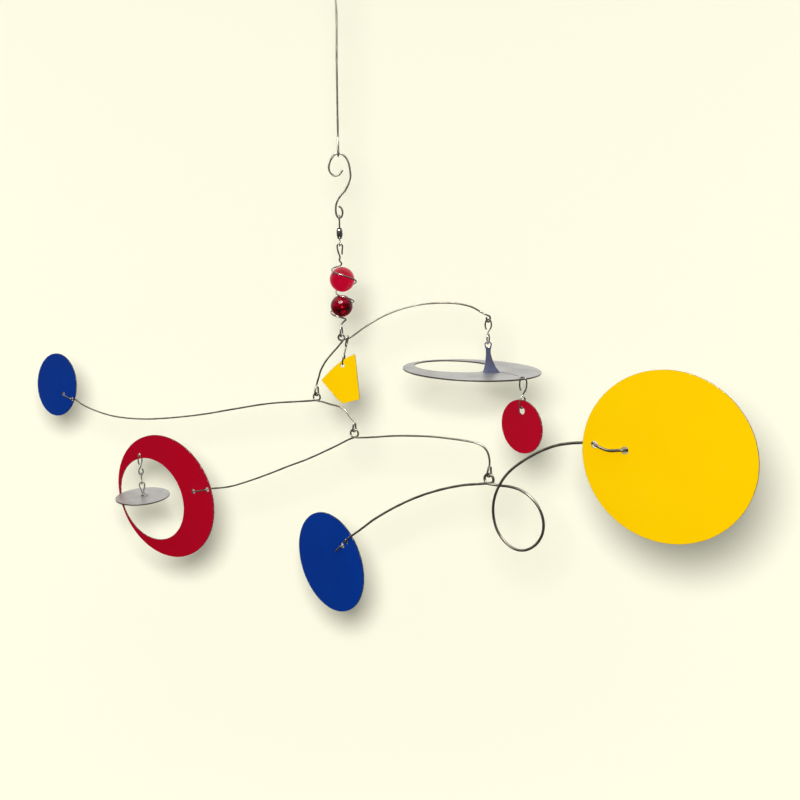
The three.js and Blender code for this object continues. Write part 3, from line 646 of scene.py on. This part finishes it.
# %% Low arm
stout_behind, stout_drift = beside_sheet(STOUT), STOUT / 2 + 0.15
blue_stitch = [(-138.9, -1, -89.2), (-134.4, -1, -84.5), (-133.5, -0.78, -83.6), (-131.9, 0.78, -82.0),
               (-130.55, 1 + 0.2 / stout_behind, -80.6), (-129.2, 0.78, -79.2), (-127.6, -0.78, -77.6),
               (-126.7, -1, -76.7), (-122.3, -1, -72.5)]
open_loop = [(7.6, -2.8), (15.2, -1.8), (22, -2), (27.5, -3.6), (32.4, -6.5), (36.1, -10.6), (38.4, -15.6), (39, -20.4),
             (38.1, -25.5), (35.4, -30.7), (31.2, -35.1), (26, -38), (20.8, -38.8), (15.3, -37.5), (10.2, -34.2),
             (6, -28.8), (3.7, -21.6), (3.5, -14.2), (4.9, -7.6), (7.6, -1.5), (11.7, 5.2), (17.3, 11.3), (24, 16.8),
             (32.3, 22.6), (39.5, 26.6), (47, 29.9)]
yellow_stitch = [(58.5, stout_behind, 33.2), *stitch(67.1, 34.1, stout_behind, 0), (75.3, -stout_behind - 0.3, 32.9),
                 *stitch(83.6, 34.1, -stout_behind, 0), (88.5, stout_behind, 34.4)]
low_slope = math.tan(math.radians(LOW_TURN))
drifts = [0.85 - 2 * (eased(index, 7, 17) - eased(index, 20, 26)) for index in range(len(open_loop))]
low_bends = [*twisted([(x, share * stout_behind, z) for x, share, z in blue_stitch], -128.4, LOW_BLUE_TWIST),
             *flat((-114.3, -65.7), (-98.9, -53), (-77.3, -37.8), (-57.1, -25.6), (-38.2, -16.2), (-20.5, -9),
                   (-7.2, -5)), *coil(2.9, -85, stout_drift),
             *[(x - across * low_slope, across, z) for (x, z), across in zip(open_loop, drifts)],
             *twisted(yellow_stitch, 67.1, YELLOW_TWIST)]
low_arm_mesh = wire("low_arm_bent", low_bends, STOUT, low_frame, sides=18)
finished("low_arm_bent", "low_arm_wire", low_arm_mesh, "low_arm", "steel", spring_wire)

# %% [markdown]
# ## Cutting plates
# A plate is an outline with holes, cut from 1 mm sheet with its edges filed soft. Blender's flat curves make
# exactly that: they fill an outline, leave the holes out, give it thickness and round the edge. The result is
# then turned into a mesh, and the faces of its rim are given the rim's own finish.


# %% Round outlines, and the plate itself
def round_outline(x, z, radius, steps=160):
    turns = [2 * math.pi * step / steps for step in range(steps)]
    return [(x + radius * math.cos(a), z + radius * math.sin(a)) for a in turns]


def plate(name, outlines, place, edge=0.14):
    curve = bpy.data.curves.new(name, "CURVE")
    curve.dimensions, curve.fill_mode = "2D", "BOTH"
    curve.extrude, curve.bevel_depth = (SHEET / 2 - edge) * MM, edge * MM
    curve.bevel_resolution, curve.offset = 2, -edge * MM
    for outline in outlines:
        spline = curve.splines.new("POLY")
        spline.points.add(len(outline) - 1)
        for point, (x, z) in zip(spline.points, outline):
            point.co = (x * MM, z * MM, 0, 1)
        spline.use_cyclic_u = True
    blank = bpy.data.objects.new(name + "_outline", curve)
    mesh = bpy.data.meshes.new_from_object(blank)
    bpy.data.objects.remove(blank)
    bpy.data.curves.remove(curve)
    mesh.name = name
    for polygon in mesh.polygons:
        polygon.material_index = 0 if abs(polygon.normal.z) > 0.99 else 1
        polygon.use_smooth = polygon.material_index == 1
    mesh.transform(place)
    return mesh


def upright(x=0.0, z=0.0, along=(1, 0, 0), lean=0.0, twist=0.0):
    roll = Matrix.Rotation(math.radians(lean), 4, Vector(along)) @ Matrix.Rotation(math.radians(90), 4, "X")
    roll = Matrix.Rotation(math.radians(twist), 4, "Z") @ roll
    return Matrix.Translation(Vector((x, 0, z)) * MM) @ roll @ Matrix.Translation(Vector((-x, -z, 0)) * MM)


# %% [markdown]
# Each plate hangs from its two stitch holes and rolls a little about the line through them, as a picture
# tips on its nail. That lean is read from how its oval looks.

# %% The four plates on the arms' ends
def stitched_plate(name, disc, holes, hole_radius, others, pose, arm, body, slot, face, rim):
    (first_x, first_z), (second_x, second_z) = holes
    along = (second_x - first_x, 0, second_z - first_z)
    outlines = [round_outline(*disc), *[round_outline(*other) for other in others]]
    outlines += [round_outline(x, z, hole_radius, 36) for x, z in holes]
    mesh = plate(name + "_plate", outlines, arm @ upright(first_x, first_z, along, *pose))
    return finished(name + "_plate", name, mesh, body, slot, face, rim)


stitched_plate("left_blue_disc", (-274.6, -17.3, 26.6), [(-252.6, -27.4), (-264.6, -24.1)], 1.8, [],
               (8.6, LEFT_TWIST), second_frame, "second_arm", "blue", blue_paint, blue_rim_painted_shade)
CHAIN_HOLE = (-194.9, -40.2)
stitched_plate("red_crescent", (-171.6, -71.1, 49.2), [(-127.6, -58.3), (-141.2, -61.9)], 1.75,
               [(-185.5, -75.3, 33.4), (*CHAIN_HOLE, 1.35, 36)],
               (0, 0), third_frame, "third_arm", "red", red_paint, red_rim_painted_shade)
stitched_plate("low_blue_disc", (-148.4, -101.2, 39), [(-128.4, -78.4), (-132.7, -82.8)], 2.1, [],
               (0, LOW_BLUE_TWIST), low_frame, "low_arm", "blue", blue_paint, blue_rim_painted_shade)
stitched_plate("yellow_disc", (103.4, 34.3, 43), [(67.1, 34.1), (83.6, 34.1)], 1.9, [],
               (-3.5, YELLOW_TWIST), low_frame, "low_arm", "yellow", yellow_paint, yellow_rim_painted_shade)

# %% [markdown]
# ## The small yellow plate
# A five-cornered offcut: four straight sides and one curved one. It hangs in a link beside the upper arm's
# coil, turned a little to the right.

# %% Link and offcut
hole_x, hole_z, hole_radius = 0.5, -18.4, 1.4
offcut_foot = (hole_x, 0, hole_z + hole_radius - THIN / 2 - GAP)
offcut_link = link((4.2, 0, 1.0), offcut_foot, (3.9, 8.5, 80), (3.9, 7.2, 90 - PLATE_TURN))
link_mesh = wire("offcut_link", offcut_link, THIN, upper_frame)
finished("offcut_link", "yellow_plate_link", link_mesh, "upper_arm", "steel", fine_wire)

arc = [(8.0 * (1 - t) ** 2 - 5.0 * t * (1 - t) - 14.8 * t**2, 7.6 * (1 - t) ** 2 + 7.4 * t * (1 - t) - 10.5 * t**2)
       for t in [step / 24 for step in range(25)]]
offcut = [(-3.7, -23.2), (0.2, -25.6), (11.4, -22.3), (8.8, 6.3), *arc]
hang = Matrix.Translation(Vector((hole_x, 0, hole_z)) * MM) @ Matrix.Rotation(math.radians(-PLATE_TURN), 4, "Z")
offcut_mesh = plate("offcut", [offcut, round_outline(0, 0, hole_radius, 36)], upper_frame @ hang @ upright())
finished("offcut", "yellow_plate", offcut_mesh, "upper_arm", "yellow", yellow_paint, yellow_rim_painted_shade)

# %% [markdown]
# ## The ring
# The ring is one flat sheet with a window sawn off centre. A narrow tab was sawn out of it, towards the
# window, and bent straight up to hang it by, which leaves a notch behind the tab. A short saw cut runs on
# from the tab's foot. All the sawing is one outline: round the window, into the notch, along the cut and back.

# %% Outline of the window, notch and saw cut
RING, WINDOW = (-8.9, 12.5, 46.5), (-19.5, 24, 27.8)
BEND = 1.1
tab_left = [(-3.7, 0), (-2.4, 1.5), (-1.9, 3.8), (-1.4, 8.3), (-1.3, 12.6), (-1.5, 15.5), (-2.3, 17.4)]
tab_right = [(2.2, 17.2), (1.7, 15), (1.9, 12.6), (3.4, 8.3), (5.7, 3.8), (7.8, 1.4), (9.7, 0)]
window_arc = [turned(WINDOW[0], WINDOW[1], WINDOW[2], -33.5 + angle) for angle in range(0, 342, 2)]
cut_line = [(10.2, -0.9), (12, -3.8), (14.8, -7.2), (17, -10.6), (18.2, -13.6)]
cut_near = [(x - 0.38, y - 0.27) for x, y in cut_line]
cut_far = [(x + 0.38, y + 0.27) for x, y in cut_line]
notch = [(-2.4, 2.0), (-4.0, 0.1), (-4.0, -BEND), *cut_near, *reversed(cut_far), (8.1, 1.9), (5.9, 4.3)]
sawn = [*window_arc, *notch]
print("the saw travels", round(sum(math.dist(a, b) for a, b in zip(sawn, sawn[1:]))), "mm inside the ring")

# %% [markdown]
# The tab starts as a flat strip that goes on from the ring. It is sliced into short rows, and every point
# past the bend line is carried round a quarter turn and then straight up, so the sheet keeps its thickness.


# %% Bend a flat strip up into the tab
def bent_up(mesh):
    shape = bmesh.new()
    shape.from_mesh(mesh)
    quarter = BEND * math.pi / 2
    for row in range(1, 10):
        cut_at = Vector((0, (row / 9 * quarter) * MM, 0))
        everything = shape.verts[:] + shape.edges[:] + shape.faces[:]
        bmesh.ops.bisect_plane(shape, geom=everything, plane_co=cut_at, plane_no=(0, 1, 0))
    for vertex in shape.verts:
        along, out = vertex.co.y / MM, vertex.co.z / MM
        if along <= 0:
            vertex.co.y = (along - BEND) * MM
        elif along < quarter:
            angle = along / BEND
            vertex.co.y = (-BEND + (BEND - out) * math.sin(angle)) * MM
            vertex.co.z = (BEND - (BEND - out) * math.cos(angle)) * MM
        else:
            vertex.co.y, vertex.co.z = -out * MM, (BEND + along - quarter) * MM
    shape.to_mesh(mesh)
    shape.free()


quarter_turn = BEND * math.pi / 2
head = [turned(-0.1, 18.4, 2.5, angle) for angle in range(165, 14, -10)]
tab_edges = [*tab_left[1:], *head, *tab_right[:-1]]
strip = [(-3.7, -0.5), *[(x, z - BEND + quarter_turn) for x, z in tab_edges], (9.7, -0.5)]
strip_hole = round_outline(-0.1, 18.4 - BEND + quarter_turn, 1.6, 36)
tab_mesh = plate("tab", [strip, strip_hole], Matrix.Identity(4), edge=0.16)
bent_up(tab_mesh)
for polygon in tab_mesh.polygons:
    polygon.material_index += 2
    polygon.use_smooth = True
tab_mesh.set_sharp_from_angle(angle=math.radians(40))

# %% Join ring and tab
RIM_LOOP, RIM_TURN = 45.9, -51
rim_hole = turned(RING[0], RING[1], RIM_LOOP - 2.1, RIM_TURN)
tilt = Matrix.Rotation(math.radians(-0.65), 4, "X") @ Matrix.Rotation(math.radians(1.2), 4, "Y")
hanging = Matrix.Translation(Vector((RING_EYE[0], 0, RING_HEIGHT)) * MM) @ tilt
ring_mesh = plate("ring", [round_outline(*RING, 220), sawn, round_outline(*rim_hole, 1.4, 36)], Matrix.Identity(4))
whole = bmesh.new()
whole.from_mesh(ring_mesh)
whole.from_mesh(tab_mesh)
whole.transform(hanging)
whole.to_mesh(ring_mesh)
whole.free()
finished("ring_plate", "halo", ring_mesh, "ring", "sheet_metal", bare_sheet, bare_rim_painted_shade, tab_painted_reflection, tab_edge_painted_highlight)

# %% [markdown]
# ## Links, the small red disc and the small grey disc
# The rest is jewellery: links that hang from holes and rims, and an eye that grips the middle of the small
# horizontal disc, its end bent flat beneath it.

# %% Link of the ring, and the small red disc at its rim
ring_link_top = (RING_EYE[0], 0, UPPER_HEIGHT + RING_EYE[1] - 2.1 + (WIRE + THIN) / 2 + SEAT)
ring_link_foot = hanging @ (Vector((-0.1, 0, 18.4 + 1.6 - THIN / 2 - GAP)) * MM) / MM
ring_link = link(ring_link_top, ring_link_foot, (4.8, 8.2, -42), (4.8, 7.4, 65))
finished("ring_link", "halo_link", wire("ring_link", ring_link, THIN), "ring", "steel", fine_wire)

rim_spot = turned(RING[0], RING[1], RIM_LOOP, RIM_TURN)
red_top = hanging @ (Vector((*rim_spot, (SHEET + THIN) / 2 + GAP)) * MM) / MM
red_foot = red_top - Vector((0, 0, 19.8))
red_link = link(red_top, red_foot, (5.8, 11, RIM_TURN), (4.6, 8.6, 90 - RED_TURN))
finished("rim_link", "red_disc_link", wire("rim_link", red_link, THIN), "ring", "steel", fine_wire)

red_drop = 10.4 + 2.5 - THIN / 2 - GAP
red_turned = Matrix.Rotation(math.radians(-RED_TURN), 4, "Z")
red_place = Matrix.Translation((red_foot - Vector((0, 0, red_drop))) * MM) @ red_turned
red_outlines = [round_outline(0, 0, 17.3, 110), round_outline(0, 10.4, 2.5, 40)]
red_mesh = plate("small_red_disc", red_outlines, red_place @ upright())
finished("small_red_disc", "red_disc", red_mesh, "ring", "red", red_paint, red_rim_painted_shade)

# %% The crescent's chain
chain_top, link_foot, hook_low = CHAIN_HOLE[1] - 1.35 + FINE / 2 + GAP, -56.5, -64.3
eye_top = hook_low + FINE + SEAT


def on_chain(z):
    return (CHAIN_HOLE[0], 0, z)


crescent_link = link(on_chain(chain_top), on_chain(link_foot), (3.8, 9, 90), (3.2, 6.2, 40))
crescent_link_mesh = wire("chain_link", crescent_link, FINE, third_frame)
finished("chain_link", "crescent_link", crescent_link_mesh, "third_arm", "steel", fine_wire)
small_hook = link(on_chain(link_foot + FINE + SEAT), on_chain(hook_low), (4.6, 4.6, -45), (4.2, 4.2, -45))
chain_hook_mesh = wire("chain_hook", small_hook, FINE, third_frame)
finished("chain_hook", "disc_hook", chain_hook_mesh, "third_arm", "steel", fine_wire)
grip = [(3.8, 0.75), (2.2, 0.8), (1.1, 1.5), (0.8, 3.4), (1.5, 6.4), (1.95, 8.6), (1.5, 10.3), (0, 11), (-1.5, 10.3),
        (-1.95, 8.6), (-1.5, 6.4), (-0.55, 3.4), (-0.35, 1.4), (-0.35, -0.6), (-0.85, -1.55), (-2.2, -1.8), (-4.2, -1.8)]
grip_bends = [(*turned(CHAIN_HOLE[0], 0, side, 45), eye_top - 11 + rise) for side, rise in grip]
disc_eye_mesh = wire("disc_eye", grip_bends, FINE, third_frame)
finished("disc_eye", "grey_disc_eye", disc_eye_mesh, "third_arm", "steel", fine_wire)

grey_place = third_frame @ Matrix.Translation(Vector((CHAIN_HOLE[0], 0, eye_top - 11 - SHEET / 2)) * MM)
grey_outlines = [round_outline(0, 0, 20.3, 130), round_outline(*turned(0, 0, -0.35, 45), 1.2, 30)]
grey_mesh = plate("small_grey_disc", grey_outlines, grey_place)
finished("small_grey_disc", "grey_disc", grey_mesh, "third_arm", "sheet_metal", bare_sheet, bare_rim_painted_shade)

# %% [markdown]
# ## The studio
# The mobile hangs in a wide pale bowl: a floor that sweeps up into walls, so no corner shows from any side.
# The bowl glows a little by itself, as a lit paper sweep does, and takes soft shadows.


# %% Floor and walls in one sweep
def studio_sweep():
    profile = [(0, -1500), (350, -1500)]
    for step in range(1, 19):
        angle = math.radians(step * 5)
        profile.append((350 + 1150 * math.sin(angle), -1500 + 1150 * (1 - math.cos(angle))))
    profile += [(1500, 600), (1300, 1300), (700, 1750), (0, 1900)]
    bowl = bpy.data.objects.new("floor", spun("floor", profile, Matrix.Identity(4), 96))
    bowl.data.flip_normals()
    bpy.context.collection.objects.link(bowl)
    bowl.visible_glossy = bowl.visible_diffuse = bowl.visible_shadow = False
    bowl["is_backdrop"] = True
    return bowl


PAPER = colour(0.991, 0.973, 0.783)
paper = Finish("pale_paper", Roughness=1.0, Specular_IOR_Level=0.0, Emission_Strength=0.28)
paper.skin.inputs["Base Color"].default_value = colour(*[0.7 * share for share in PAPER[:3]])
where = paper.node("ShaderNodeTexCoord", output="Object")
rise = paper.node("ShaderNodeSeparateXYZ", inputs={0: where}, output=2)
on_wall = paper.between(rise, -1.55, -0.35)
paper.feed(paper.skin.inputs["Emission Color"], paper.mixed(on_wall, colour(0.45, 0.442, 0.356), PAPER))
floor = studio_sweep()
floor.data.materials.append(paper.material)
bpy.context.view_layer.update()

# %% [markdown]
# ## Light
# Broad, even light fills the whole room. A window-shaped softbox from the upper left draws the highlights on
# wire and glass. A small lamp just above the lens gives each plate the soft shadow at its lower right.


# %% Room light
world = bpy.data.worlds.new("room")
world.use_nodes = True
room = world.node_tree
room.nodes.clear()
background = room.nodes.new("ShaderNodeBackground")
output = room.nodes.new("ShaderNodeOutputWorld")
room.links.new(background.outputs[0], output.inputs[0])
background.inputs["Color"].default_value = colour(1.0, 0.985, 0.95)
way, slope = room.nodes.new("ShaderNodeTexCoord"), room.nodes.new("ShaderNodeVectorMath")
fade = room.nodes.new("ShaderNodeMapRange")
slope.operation, slope.inputs[1].default_value = "DOT_PRODUCT", (0, 0.8, 0.6)
for setting, value in {"From Min": -0.1, "From Max": 0.8, "To Min": 0.06, "To Max": 0.92}.items():
    fade.inputs[setting].default_value = value
room.links.new(way.outputs["Generated"], slope.inputs[0])
room.links.new(slope.outputs["Value"], fade.inputs["Value"])
room.links.new(fade.outputs[0], background.inputs["Strength"])
bpy.context.scene.world = world


# %% Softbox and lens lamp
def lamp(name, kind, spot, aim, watts, **settings):
    light = bpy.data.lights.new(name, kind)
    light.energy = watts
    for setting, value in settings.items():
        setattr(light, setting, value)
    holder = bpy.data.objects.new(name, light)
    holder.location = Vector(spot) * MM
    holder.rotation_euler = (Vector(aim) - Vector(spot)).to_track_quat("-Z", "Y").to_euler()
    bpy.context.collection.objects.link(holder)
    return holder


for pane, (across, up, width) in enumerate([(-1, 1, 0.2), (1, 1, 0.28), (-1, -1, 0.2), (1, -1, 0.28)]):
    pane_spot = (-170 + across * 170, -690, 560 + up * 130)
    window = lamp(f"window_pane_{pane}", "AREA", pane_spot, (0, 0, -180), 3.2,
                  shape="RECTANGLE", size=width, size_y=0.2)
    window.visible_diffuse = False

lens_lamp = lamp("lens_lamp", "POINT", (29.5, -455, -135.6), (30, 0, -138.6), 1.0, shadow_soft_size=0.017)
lens_lamp.visible_glossy = False
lens_lamp.data.use_nodes = True
glow = lens_lamp.data.node_tree.nodes["Emission"]
falloff = lens_lamp.data.node_tree.nodes.new("ShaderNodeLightFalloff")
falloff.inputs["Strength"].default_value = 37.5
lens_lamp.data.node_tree.links.new(falloff.outputs["Constant"], glow.inputs["Strength"])

# %% [markdown]
# ## Last measurements
# The finished mobile must be the size of the measured one, so the two boxes are compared and the largest growth
# printed.

# %% Compare the boxes and finish
made_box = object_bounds()
growth = [max(m[k] - v[k] if s < 0 else v[k] - m[k] for k in range(3)) for s, m, v in
          ((-1, measured_box[0], made_box[0]), (1, measured_box[1], made_box[1]))]
print("the finished mobile stands proud of the measured one by", round(max(growth) / MM, 2), "mm")
